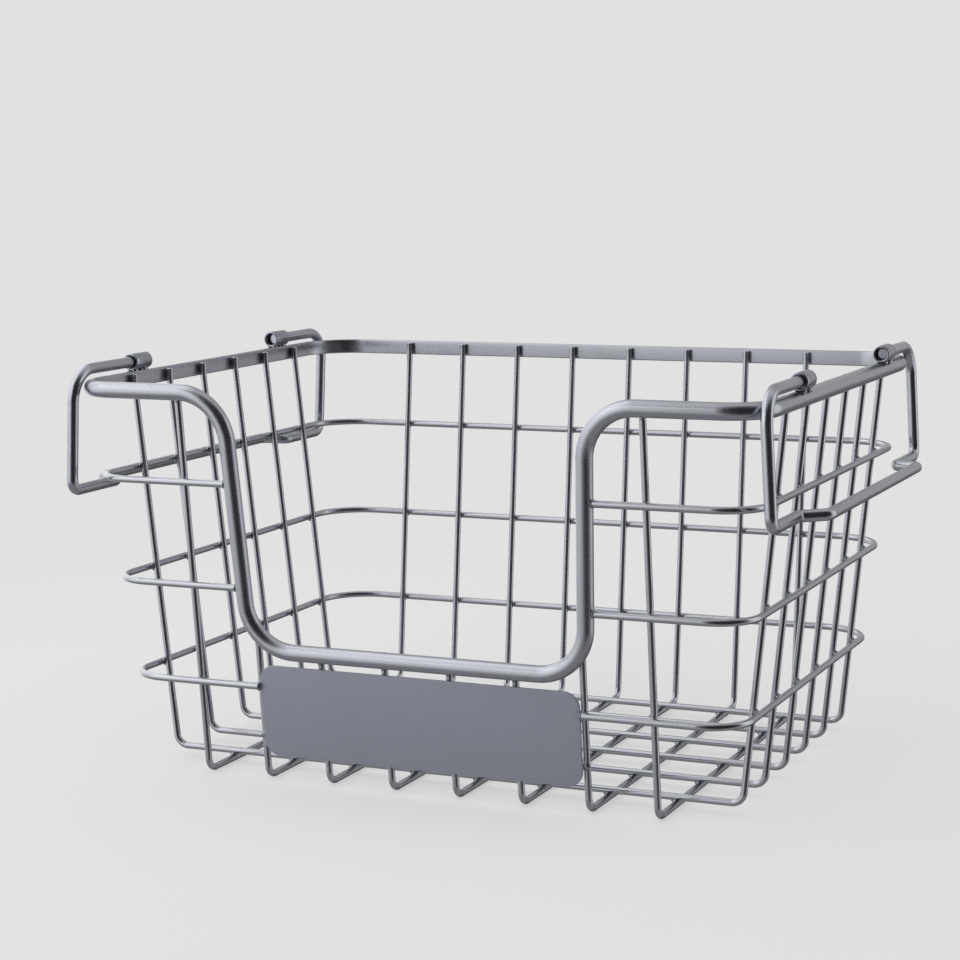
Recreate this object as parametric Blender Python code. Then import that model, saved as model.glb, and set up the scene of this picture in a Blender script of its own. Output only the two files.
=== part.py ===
"""Steel wire storage basket with a dipped front, a bare label plate and two swinging bail handles.

Lengths are metres. X runs across the width, Y runs back from the open front, and Z is up.
The origin is under the middle of the basket, on the surface that it stands on.
"""
import math

import bmesh
import bpy
from mathutils import Vector

# Clearance left in the solids where two pieces are welded or rest on each other
WELD_GAP = 0.0003

# Grid wires
WIRE_DIAMETER = 0.0030
WIRE_BEND_RADIUS = 0.0055
DEEP_WIRE_COUNT = 8
WIDE_WIRE_COUNT = 6

# Walls, measured between the centre lines of the wires at floor height
BASE_WIDTH = 0.2670
BASE_DEPTH = 0.1930
WALL_LEAN = math.radians(6.0)

# From a wall to the nearest wire that runs along it on the floor
SIDE_BAY = 0.0285
END_BAY = 0.0215

# Rings round the walls
RING_BOTTOM_HEIGHT = 0.0430
RING_MIDDLE_HEIGHT = 0.0865
RING_TOP_HEIGHT = 0.1320
FRONT_CORNER_RADIUS = 0.0180
BACK_CORNER_RADIUS = 0.0240

# Rim, a half-round bar with its flat face inwards
RIM_HEIGHT = 0.1745
RIM_BAR_HEIGHT = 0.0070
RIM_BAR_DEPTH = 0.0050
RIM_EDGE_CHAMFER = 0.0004
WIRE_TOP_SETBACK = 0.0010

# Front opening, between the centre lines of the bar at the sill, and how far each leg flares
OPENING_WIDTH = 0.1548
OPENING_FLARE = 0.00425
OPENING_SILL_HEIGHT = 0.0595
OPENING_BEND_RADIUS = 0.0220

# Label plate, a little narrower than the opening over it
PLATE_SIDE_MARGIN = 0.0034
PLATE_HEIGHT = 0.0410
PLATE_THICKNESS = 0.0012
PLATE_CORNER_RADIUS = 0.0070
PLATE_BOTTOM_HEIGHT = 0.0120

# Hinge sleeves on the side rims, placed from the ends of the rim
SLEEVE_FROM_RIM_END = 0.0509
SLEEVE_DIAMETER = 0.0076
SLEEVE_BORE = 0.0057
SLEEVE_LENGTH = 0.0130

# Bail handles, about as wide as the basket is deep
HANDLE_DIAMETER = 0.0050
HANDLE_SHORT_OF_RIM_END = 0.0009
HANDLE_DROP = 0.0525
HANDLE_INSERTION = 0.0080
HANDLE_SLID_FORWARD = 0.0020
HANDLE_SHOULDER_RADIUS = 0.0140
HANDLE_HEEL_RADIUS = 0.0050
HANDLE_HEEL_LENGTH = 0.0360
HANDLE_CRANK_OFFSET = 0.0113
HANDLE_CRANK_RUN = 0.0050
HANDLE_CRANK_RADIUS = 0.0042
HANDLE_HANG_ANGLE = math.radians(3.0)

# Facets of the round pieces
WIRE_SIDES = 8
HANDLE_SIDES = 12
SLEEVE_SIDES = 20
BEND_STEP = math.radians(15.0)
RIM_BEND_STEP = math.radians(11.25)
RIM_ROUND_STEPS = 8
PLATE_CORNER_STEPS = 6

# Satin blue-grey enamel on steel
COAT_METALLIC = 0.55
COAT_ROUGHNESS = 0.38
RIM_COLOUR = (0.27, 0.28, 0.33, 1.0)
WIRE_COLOUR = (0.25, 0.26, 0.31, 1.0)
PLATE_COLOUR = (0.20, 0.21, 0.26, 1.0)
HANDLE_COLOUR = (0.23, 0.24, 0.29, 1.0)
SLEEVE_COLOUR = (0.24, 0.25, 0.30, 1.0)

# Sizes that follow from the ones above
WIRE_RADIUS = WIRE_DIAMETER / 2
WELDED_PITCH = WIRE_DIAMETER + WELD_GAP
FACE_OFFSET = WIRE_RADIUS + WELD_GAP
DEEP_WIRE_FLOOR = WIRE_RADIUS
WIDE_WIRE_FLOOR = DEEP_WIRE_FLOOR + WELDED_PITCH
RIM_UNDERSIDE = RIM_HEIGHT - RIM_BAR_HEIGHT
RIM_MIDDLE = RIM_HEIGHT - RIM_BAR_HEIGHT / 2
RIM_ROUND_RADIUS = RIM_BAR_HEIGHT / 2
RIM_STRAIGHT_DEPTH = RIM_BAR_DEPTH - RIM_ROUND_RADIUS
WIRE_TOP = RIM_HEIGHT - WIRE_TOP_SETBACK
DEEP_WIRE_PITCH = (BASE_WIDTH - 2 * SIDE_BAY) / (DEEP_WIRE_COUNT - 1)
WIDE_WIRE_PITCH = (BASE_DEPTH - 2 * END_BAY) / (WIDE_WIRE_COUNT - 1)
OPENING_TOP_WIDTH = OPENING_WIDTH + 2 * OPENING_FLARE
OPENING_LEG_LEAN = math.atan2(OPENING_FLARE, RIM_MIDDLE - OPENING_SILL_HEIGHT)
OPENING_BEND_REACH = OPENING_BEND_RADIUS * math.tan((math.pi / 2 - OPENING_LEG_LEAN) / 2)
PLATE_WIDTH = OPENING_WIDTH - 2 * PLATE_SIDE_MARGIN


def half_width(height):
    """Distance from the middle to the centre line of a side wall's wires at a height."""
    return BASE_WIDTH / 2 + math.tan(WALL_LEAN) * min(height, RIM_UNDERSIDE)


def half_depth(height):
    """Distance from the middle to the centre line of an end wall's wires at a height."""
    return BASE_DEPTH / 2 + math.tan(WALL_LEAN) * min(height, RIM_UNDERSIDE)


RIM_HALF_WIDTH = half_width(RIM_MIDDLE) + FACE_OFFSET
RIM_HALF_DEPTH = half_depth(RIM_MIDDLE) + FACE_OFFSET
RIM_SILL_HALF_DEPTH = half_depth(OPENING_SILL_HEIGHT) + FACE_OFFSET
SLEEVE_SPACING = 2 * (RIM_HALF_DEPTH - SLEEVE_FROM_RIM_END)
HANDLE_WIDTH = 2 * (RIM_HALF_DEPTH - HANDLE_SHORT_OF_RIM_END)

# The sleeves stand on the rim, over the middle of the bar's depth
SLEEVE_OVER_ROUND = RIM_BAR_DEPTH / 2 - RIM_STRAIGHT_DEPTH
SLEEVE_REACH = RIM_ROUND_RADIUS + WELD_GAP + SLEEVE_DIAMETER / 2
HINGE_X = RIM_HALF_WIDTH + RIM_BAR_DEPTH / 2
HINGE_Z = RIM_MIDDLE + math.sqrt(SLEEVE_REACH ** 2 - SLEEVE_OVER_ROUND ** 2)


def remove_all_objects():
    """Empty the scene that the script runs in."""
    for item in list(bpy.data.objects):
        bpy.data.objects.remove(item, do_unlink=True)


def enamel(name, colour):
    """One satin enamel material."""
    material = bpy.data.materials.new(name)
    material.use_nodes = True
    shader = material.node_tree.nodes["Principled BSDF"]
    shader.inputs["Base Color"].default_value = colour
    shader.inputs["Roughness"].default_value = COAT_ROUGHNESS
    shader.inputs["Metallic"].default_value = COAT_METALLIC
    material.diffuse_color = colour
    return material


def add_object(name, mesh, colour, parent, location=(0, 0, 0), rotation=(0, 0, 0)):
    """Place a named piece that carries its own material, also where its mesh is shared."""
    item = bpy.data.objects.new(name, mesh)
    bpy.context.scene.collection.objects.link(item)
    if not mesh.materials:
        mesh.materials.append(None)
    item.material_slots[0].link = "OBJECT"
    item.material_slots[0].material = enamel(name + "_enamel", colour)
    item.parent = parent
    item.location = location
    item.rotation_euler = rotation
    return item


def add_empty(name, parent=None, location=(0, 0, 0), rotation=(0, 0, 0)):
    """A frame that other pieces are placed in."""
    item = bpy.data.objects.new(name, None)
    bpy.context.scene.collection.objects.link(item)
    item.parent = parent
    item.location = location
    item.rotation_euler = rotation
    return item


def rounded_corner(before, corner, after, radius, step):
    """Points of the arc that replaces one corner of a path."""
    back = (before - corner).normalized()
    ahead = (after - corner).normalized()
    opening = back.angle(ahead)
    turn = math.pi - opening
    centre = corner + (back + ahead).normalized() * (radius / math.sin(opening / 2))
    set_off = radius / math.tan(opening / 2)
    first = corner + back * set_off - centre
    last = corner + ahead * set_off - centre
    steps = max(2, math.ceil(turn / step))
    points = []
    for index in range(steps + 1):
        share = index / steps
        blend = first * math.sin((1 - share) * turn) + last * math.sin(share * turn)
        points.append(centre + blend / math.sin(turn))
    return points


def rounded_path(corners, radii, step, closed=False):
    """A path through corners, each rounded by its own radius; a radius of 0 keeps the corner."""
    count = len(corners)
    path = []
    for index, corner in enumerate(corners):
        at_end = not closed and index in (0, count - 1)
        if at_end or radii[index] == 0:
            path.append(corner)
            continue
        before = corners[index - 1]
        after = corners[(index + 1) % count]
        path.extend(rounded_corner(before, corner, after, radii[index], step))
    return path


def path_tangents(path, closed):
    """Unit directions along a path, halved between its two segments at each point."""
    count = len(path)
    tangents = []
    for index in range(count):
        behind = path[index - 1] if closed or index > 0 else None
        ahead = path[(index + 1) % count] if closed or index < count - 1 else None
        direction = Vector((0, 0, 0))
        if behind is not None:
            direction += (path[index] - behind).normalized()
        if ahead is not None:
            direction += (ahead - path[index]).normalized()
        tangents.append(direction.normalized())
    return tangents


def carried_normals(tangents, first_normal):
    """Section normals carried along the path without twist."""
    normal = first_normal
    normals = []
    for tangent in tangents:
        normal = (normal - tangent * normal.dot(tangent)).normalized()
        normals.append(normal)
    return normals


def round_section(diameter, sides):
    """A regular polygon whose flats touch the circle of a diameter, one flat facing each axis."""
    half_step = math.pi / sides
    radius = diameter / 2 / math.cos(half_step)
    angles = [half_step * (2 * side + 1) for side in range(sides)]
    return [(radius * math.cos(angle), radius * math.sin(angle)) for angle in angles]


def rim_section():
    """The half-round bar: flat face on the path, round side outwards."""
    section = []
    for index in range(RIM_ROUND_STEPS + 1):
        angle = math.pi * (index / RIM_ROUND_STEPS - 1 / 2)
        across = RIM_STRAIGHT_DEPTH + RIM_ROUND_RADIUS * math.cos(angle)
        section.append((across, RIM_ROUND_RADIUS * math.sin(angle)))
    shoulder = RIM_ROUND_RADIUS - RIM_EDGE_CHAMFER
    section.append((RIM_EDGE_CHAMFER, RIM_ROUND_RADIUS))
    section.append((0, shoulder))
    section.append((0, -shoulder))
    section.append((RIM_EDGE_CHAMFER, -RIM_ROUND_RADIUS))
    return section


def finish_mesh(name, shape):
    """Turn a bmesh into a smooth shaded mesh."""
    mesh = bpy.data.meshes.new(name)
    shape.to_mesh(mesh)
    shape.free()
    mesh.shade_smooth()
    mesh.set_sharp_from_angle(angle=math.radians(50))
    return mesh


def sweep(name, path, section, tangents, normals, closed=False):
    """Carry a section along a path as one closed solid."""
    shape = bmesh.new()
    rings = []
    for point, tangent, normal in zip(path, tangents, normals):
        side = tangent.cross(normal)
        rings.append([shape.verts.new(point + normal * across + side * along) for across, along in section])
    count = len(rings)
    spans = count if closed else count - 1
    for index in range(spans):
        ring = rings[index]
        following = rings[(index + 1) % count]
        for corner in range(len(section)):
            beside = (corner + 1) % len(section)
            shape.faces.new((ring[corner], ring[beside], following[beside], following[corner]))
    if not closed:
        shape.faces.new(reversed(rings[0]))
        shape.faces.new(rings[-1])
    return finish_mesh(name, shape)


def bent_wire(name, path, diameter, sides, first_normal):
    """A round wire bent along an open path."""
    tangents = path_tangents(path, closed=False)
    normals = carried_normals(tangents, first_normal)
    return sweep(name, path, round_section(diameter, sides), tangents, normals)


def deep_wire_mesh(name, front_top):
    """A wire that runs up the front, along the floor and up the back, in the plane across X."""
    front_corners = [Vector((0, -half_depth(front_top), front_top))]
    if front_top > RIM_UNDERSIDE:
        front_corners.append(Vector((0, -half_depth(RIM_UNDERSIDE), RIM_UNDERSIDE)))
    floor = DEEP_WIRE_FLOOR
    corners = front_corners + [
        Vector((0, -half_depth(floor), floor)),
        Vector((0, half_depth(floor), floor)),
        Vector((0, half_depth(RIM_UNDERSIDE), RIM_UNDERSIDE)),
        Vector((0, half_depth(WIRE_TOP), WIRE_TOP)),
    ]
    radii = [0] * len(front_corners) + [WIRE_BEND_RADIUS, WIRE_BEND_RADIUS, 0, 0]
    path = rounded_path(corners, radii, BEND_STEP)
    return bent_wire(name, path, WIRE_DIAMETER, WIRE_SIDES, Vector((1, 0, 0)))


def wide_wire_mesh(name):
    """A wire that runs down one side, along the floor and up the other side, in the plane across Y."""
    floor = WIDE_WIRE_FLOOR
    left = [
        Vector((-half_width(WIRE_TOP), 0, WIRE_TOP)),
        Vector((-half_width(RIM_UNDERSIDE), 0, RIM_UNDERSIDE)),
        Vector((-half_width(floor), 0, floor)),
    ]
    right = [Vector((-corner.x, corner.y, corner.z)) for corner in reversed(left)]
    radii = [0, 0, WIRE_BEND_RADIUS, WIRE_BEND_RADIUS, 0, 0]
    path = rounded_path(left + right, radii, BEND_STEP)
    return bent_wire(name, path, WIRE_DIAMETER, WIRE_SIDES, Vector((0, 1, 0)))


def ring_mesh(name, height, end_x):
    """A wire round the outside of the walls, open at the front between two ends."""
    across = half_width(height) + WELDED_PITCH / math.cos(WALL_LEAN)
    deep = half_depth(height) + WELDED_PITCH / math.cos(WALL_LEAN)
    corners = [
        Vector((-end_x, -deep, 0)),
        Vector((-across, -deep, 0)),
        Vector((-across, deep, 0)),
        Vector((across, deep, 0)),
        Vector((across, -deep, 0)),
        Vector((end_x, -deep, 0)),
    ]
    radii = [0, FRONT_CORNER_RADIUS, BACK_CORNER_RADIUS, BACK_CORNER_RADIUS, FRONT_CORNER_RADIUS, 0]
    path = rounded_path(corners, radii, BEND_STEP)
    return bent_wire(name, path, WIRE_DIAMETER, WIRE_SIDES, Vector((0, 0, 1)))


def opening_half_width(height):
    """Distance from the middle to the centre line of the opening's leg at a height."""
    share = (height - OPENING_SILL_HEIGHT) / (RIM_MIDDLE - OPENING_SILL_HEIGHT)
    return OPENING_WIDTH / 2 + OPENING_FLARE * share


def rim_path():
    """Centre line of the rim's flat face, anticlockwise from above, with its dip at the front."""
    across, deep = RIM_HALF_WIDTH, RIM_HALF_DEPTH
    top_x, sill_x = OPENING_TOP_WIDTH / 2, OPENING_WIDTH / 2
    corners = [
        Vector((across, deep, RIM_MIDDLE)),
        Vector((-across, deep, RIM_MIDDLE)),
        Vector((-across, -deep, RIM_MIDDLE)),
        Vector((-top_x, -deep, RIM_MIDDLE)),
        Vector((-sill_x, -RIM_SILL_HALF_DEPTH, OPENING_SILL_HEIGHT)),
        Vector((sill_x, -RIM_SILL_HALF_DEPTH, OPENING_SILL_HEIGHT)),
        Vector((top_x, -deep, RIM_MIDDLE)),
        Vector((across, -deep, RIM_MIDDLE)),
    ]
    inset = WELDED_PITCH - FACE_OFFSET
    back, front = BACK_CORNER_RADIUS - inset, FRONT_CORNER_RADIUS - inset
    bend = OPENING_BEND_RADIUS
    radii = [back, back, front, bend, bend, bend, bend, front]
    return rounded_path(corners, radii, RIM_BEND_STEP, closed=True)


def rim_normals(path, tangents):
    """Directions away from the flat face: level round the top, square to the leaning wall in the dip."""
    level = Vector((0, -1, 0))
    leaning = Vector((0, -math.cos(WALL_LEAN), -math.sin(WALL_LEAN)))
    upright = Vector((0, 0, 1))
    normals = []
    for point, tangent in zip(path, tangents):
        depth = RIM_MIDDLE - point.z
        if depth > WELD_GAP:
            outward = level.lerp(leaning, min(1, depth / OPENING_BEND_RADIUS))
        else:
            outward = tangent.cross(upright)
        normals.append((outward - tangent * outward.dot(tangent)).normalized())
    return normals


def rim_mesh(name):
    """The rim bar, bent into one closed loop."""
    path = rim_path()
    tangents = path_tangents(path, closed=True)
    return sweep(name, path, rim_section(), tangents, rim_normals(path, tangents), closed=True)


def plate_mesh(name):
    """The label plate, flat on its own XZ plane with its front face at -Y."""
    outline = []
    centre_x = PLATE_WIDTH / 2 - PLATE_CORNER_RADIUS
    centre_z = PLATE_HEIGHT / 2 - PLATE_CORNER_RADIUS
    for quarter, (side_x, side_z) in enumerate(((1, 1), (-1, 1), (-1, -1), (1, -1))):
        for index in range(PLATE_CORNER_STEPS + 1):
            angle = math.pi / 2 * (quarter + index / PLATE_CORNER_STEPS)
            x = side_x * centre_x + PLATE_CORNER_RADIUS * math.cos(angle)
            z = side_z * centre_z + PLATE_CORNER_RADIUS * math.sin(angle)
            outline.append((x, z))
    shape = bmesh.new()
    front = shape.faces.new([shape.verts.new((x, -PLATE_THICKNESS / 2, z)) for x, z in outline])
    grown = bmesh.ops.extrude_face_region(shape, geom=[front])
    moved = [part for part in grown["geom"] if isinstance(part, bmesh.types.BMVert)]
    bmesh.ops.translate(shape, verts=moved, vec=(0, PLATE_THICKNESS, 0))
    bmesh.ops.recalc_face_normals(shape, faces=shape.faces)
    return finish_mesh(name, shape)


def sleeve_mesh(name):
    """A short tube along Y, round its own origin."""
    shape = bmesh.new()
    loops = []
    for diameter, end in ((SLEEVE_DIAMETER, -1), (SLEEVE_DIAMETER, 1), (SLEEVE_BORE, 1), (SLEEVE_BORE, -1)):
        y = end * SLEEVE_LENGTH / 2
        section = round_section(diameter, SLEEVE_SIDES)
        loops.append([shape.verts.new((x, y, z)) for x, z in section])
    for index, loop in enumerate(loops):
        following = loops[(index + 1) % len(loops)]
        for corner in range(SLEEVE_SIDES):
            beside = (corner + 1) % SLEEVE_SIDES
            shape.faces.new((loop[corner], following[corner], following[beside], loop[beside]))
    bmesh.ops.recalc_face_normals(shape, faces=shape.faces)
    return finish_mesh(name, shape)


def handle_mesh(name):
    """A bail that hangs straight down from the hinge axis on its own Y, cranked towards +X."""
    entry = SLEEVE_SPACING / 2 + SLEEVE_LENGTH / 2 - HANDLE_INSERTION
    leg = HANDLE_WIDTH / 2
    heel = leg - HANDLE_HEEL_LENGTH
    bar = heel - HANDLE_CRANK_RUN
    front = [
        Vector((0, -entry, 0)),
        Vector((0, -leg, 0)),
        Vector((0, -leg, -HANDLE_DROP)),
        Vector((0, -heel, -HANDLE_DROP)),
        Vector((HANDLE_CRANK_OFFSET, -bar, -HANDLE_DROP)),
    ]
    rear = [Vector((corner.x, -corner.y, corner.z)) for corner in reversed(front)]
    front_radii = [0, HANDLE_SHOULDER_RADIUS, HANDLE_HEEL_RADIUS, HANDLE_CRANK_RADIUS, HANDLE_CRANK_RADIUS]
    path = rounded_path(front + rear, front_radii + front_radii[::-1], BEND_STEP)
    return bent_wire(name, path, HANDLE_DIAMETER, HANDLE_SIDES, Vector((1, 0, 0)))


def deep_wire_top(x):
    """Height of a front-to-back wire's front end: the rim, or the sill or its bend under the opening."""
    if abs(x) > OPENING_TOP_WIDTH / 2:
        return WIRE_TOP
    past_sill = abs(x) - (OPENING_WIDTH / 2 - OPENING_BEND_REACH)
    into_bend = min(max(past_sill, 0), OPENING_BEND_RADIUS)
    rise = OPENING_BEND_RADIUS - math.sqrt(OPENING_BEND_RADIUS ** 2 - into_bend ** 2)
    return OPENING_SILL_HEIGHT + rise + RIM_BAR_HEIGHT / 2 - WIRE_TOP_SETBACK


def add_grid(basket):
    """The wires that cross under the floor and rise up the walls."""
    meshes = {}
    for index in range(DEEP_WIRE_COUNT):
        x = (index - (DEEP_WIRE_COUNT - 1) / 2) * DEEP_WIRE_PITCH
        top = deep_wire_top(x)
        if top not in meshes:
            meshes[top] = deep_wire_mesh("front_to_back_wire", top)
        add_object(f"front_to_back_wire_{index + 1}", meshes[top], WIRE_COLOUR, basket, (x, 0, 0))
    mesh = wide_wire_mesh("side_to_side_wire")
    for index in range(WIDE_WIRE_COUNT):
        y = (index - (WIDE_WIRE_COUNT - 1) / 2) * WIDE_WIRE_PITCH
        add_object(f"side_to_side_wire_{index + 1}", mesh, WIRE_COLOUR, basket, (0, y, 0))


def add_rings(basket):
    """The three rings: the upper two end at the opening's legs, the lowest at the label plate."""
    plate_end = PLATE_WIDTH / 2 + WELD_GAP
    heights = {"bottom": RING_BOTTOM_HEIGHT, "middle": RING_MIDDLE_HEIGHT, "top": RING_TOP_HEIGHT}
    for name, height in heights.items():
        leg_end = opening_half_width(height) + RIM_BAR_HEIGHT / 2 + WELD_GAP
        end_x = leg_end if height > OPENING_SILL_HEIGHT else plate_end
        mesh = ring_mesh(f"ring_{name}", height, end_x)
        add_object(f"ring_{name}", mesh, WIRE_COLOUR, basket, (0, 0, height))


def add_plate(basket):
    """The label plate, on the front of the wires under the opening."""
    up_the_wall = PLATE_HEIGHT / 2 * math.cos(WALL_LEAN)
    height = PLATE_BOTTOM_HEIGHT + up_the_wall
    off_wires = (FACE_OFFSET + PLATE_THICKNESS / 2) / math.cos(WALL_LEAN)
    place = (0, -half_depth(height) - off_wires, height)
    add_object("label_plate", plate_mesh("label_plate"), PLATE_COLOUR, basket, place, (WALL_LEAN, 0, 0))


def add_handles(basket):
    """Two sleeves on each side rim, and the bail that swings in them."""
    sleeve = sleeve_mesh("hinge_sleeve")
    handle = handle_mesh("handle")
    for side, turn in (("left", math.pi), ("right", 0)):
        x = HINGE_X if side == "right" else -HINGE_X
        hinge = add_empty(f"hinge_{side}", basket, (x, -HANDLE_SLID_FORWARD, HINGE_Z), (0, 0, turn))
        add_object(f"handle_{side}", handle, HANDLE_COLOUR, hinge, rotation=(0, -HANDLE_HANG_ANGLE, 0))
        for end, towards in (("front", -1), ("rear", 1)):
            y = towards * SLEEVE_SPACING / 2
            add_object(f"hinge_sleeve_{side}_{end}", sleeve, SLEEVE_COLOUR, basket, (x, y, HINGE_Z))


def main():
    """Build the basket."""
    remove_all_objects()
    basket = add_empty("basket")
    add_object("rim", rim_mesh("rim"), RIM_COLOUR, basket)
    add_rings(basket)
    add_grid(basket)
    add_plate(basket)
    add_handles(basket)


main()
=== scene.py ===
"""Looks of a steel wire storage basket with a dipped front, a bare label plate and two bail handles.

Lengths are metres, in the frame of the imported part: X across, Y back from the open front, Z up.
"""
import logging
import math
from dataclasses import dataclass, field, replace
from enum import Enum

import bmesh
import bpy
from mathutils import Matrix, Vector, noise


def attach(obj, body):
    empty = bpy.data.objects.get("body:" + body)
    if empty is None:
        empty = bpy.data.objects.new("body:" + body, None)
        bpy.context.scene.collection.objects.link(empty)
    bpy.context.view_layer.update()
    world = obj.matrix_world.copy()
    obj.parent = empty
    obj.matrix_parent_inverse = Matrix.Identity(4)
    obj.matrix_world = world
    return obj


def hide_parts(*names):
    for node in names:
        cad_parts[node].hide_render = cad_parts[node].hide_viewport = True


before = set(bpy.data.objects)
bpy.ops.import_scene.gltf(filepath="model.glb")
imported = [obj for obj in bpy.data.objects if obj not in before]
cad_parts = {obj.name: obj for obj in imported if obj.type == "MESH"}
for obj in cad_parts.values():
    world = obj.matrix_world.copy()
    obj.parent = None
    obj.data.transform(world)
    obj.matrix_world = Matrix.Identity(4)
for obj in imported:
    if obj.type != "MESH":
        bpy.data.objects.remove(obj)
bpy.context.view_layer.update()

LOG = logging.getLogger("wire_basket")
WHITE = (1.0, 1.0, 1.0, 1.0)
ACROSS = Vector((1, 0, 0))
BACKWARDS = Vector((0, 1, 0))
UP = Vector((0, 0, 1))


class Side(Enum):
    """The two side walls, by the sign of X."""

    LEFT = -1
    RIGHT = 1


class End(Enum):
    """The two end walls, by the sign of Y."""

    FRONT = -1
    BACK = 1


class Spread(Enum):
    """How the coat lies on a surface, by the share of its grain that shows."""

    SPRAYED = 1.0
    POOLED = 0.35


class Curve(Enum):
    """How a value goes from one level to another, by the node's own word for it."""

    STRAIGHT = "LINEAR"
    SMOOTH = "SMOOTHSTEP"


class Mixed(Enum):
    """What is mixed: the node's own word for it, and the numbers of its two inputs and its output."""

    NUMBER = ("FLOAT", 2, 3, 0)
    COLOUR = ("RGBA", 6, 7, 2)


class NodeSheet:
    """A node tree, with short calls to add nodes and join them."""

    def __init__(self, tree: bpy.types.NodeTree) -> None:
        """Start from an empty tree.

        Args:
            tree: The node tree to fill.
        """
        self.tree = tree
        self.tree.nodes.clear()

    def add(
        self,
        kind: str,
        feeds: dict[str | int, bpy.types.NodeSocket] | None = None,
        **settings: object,
    ) -> bpy.types.Node:
        """Add one node.

        Args:
            kind: The name of the node type.
            feeds: The sockets that feed its inputs, by the name or number of each input.
            settings: Properties of the node, or input values where the name is an input's.

        Returns:
            The new node.
        """
        node = self.tree.nodes.new(kind)
        for name, value in settings.items():
            socket = node.inputs.get(name.replace("_", " "))
            if socket is not None and not hasattr(type(node), name):
                socket.default_value = value
            else:
                setattr(node, name, value)
        for name, source in (feeds or {}).items():
            self.tree.links.new(source, node.inputs[name])
        return node

    def combined(
        self,
        operation: str,
        first: bpy.types.NodeSocket,
        second: bpy.types.NodeSocket,
        **settings: object,
    ) -> bpy.types.NodeSocket:
        """Combine two values.

        Args:
            operation: The name of the operation.
            first: The first value.
            second: The second value.
            settings: More properties of the node.

        Returns:
            The result.
        """
        node = self.add("ShaderNodeMath", {0: first, 1: second}, operation=operation, **settings)
        return node.outputs["Value"]

    def ranged(
        self,
        value: bpy.types.NodeSocket,
        reach: tuple[float, float] = (0.0, 1.0),
        levels: tuple[float, float] = (0.0, 1.0),
        curve: Curve = Curve.STRAIGHT,
    ) -> bpy.types.NodeSocket:
        """Carry a value from one range to another, held at both ends.

        Args:
            value: The value.
            reach: The values at which the new range starts and ends.
            levels: What it gives there.
            curve: How it goes from one to the other.

        Returns:
            The result.
        """
        ends = {"From_Min": reach[0], "From_Max": reach[1], "To_Min": levels[0], "To_Max": levels[1]}
        node = self.add("ShaderNodeMapRange", {"Value": value}, interpolation_type=curve.value, **ends)
        return node.outputs["Result"]

    def mixed(
        self,
        kind: Mixed,
        share: bpy.types.NodeSocket,
        first: bpy.types.NodeSocket | float | tuple[float, ...],
        second: bpy.types.NodeSocket | float | tuple[float, ...],
    ) -> bpy.types.NodeSocket:
        """Mix two numbers or two colours.

        Args:
            kind: Which of these they are.
            share: The share of the second.
            first: The first, as a socket or as it is.
            second: The second, as a socket or as it is.

        Returns:
            The result.
        """
        data_type, *places, result = kind.value
        node = self.add("ShaderNodeMix", {0: share}, data_type=data_type)
        for place, value in zip(places, (first, second)):
            if isinstance(value, bpy.types.NodeSocket):
                self.tree.links.new(value, node.inputs[place])
            else:
                node.inputs[place].default_value = value
        return node.outputs[result]


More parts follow.
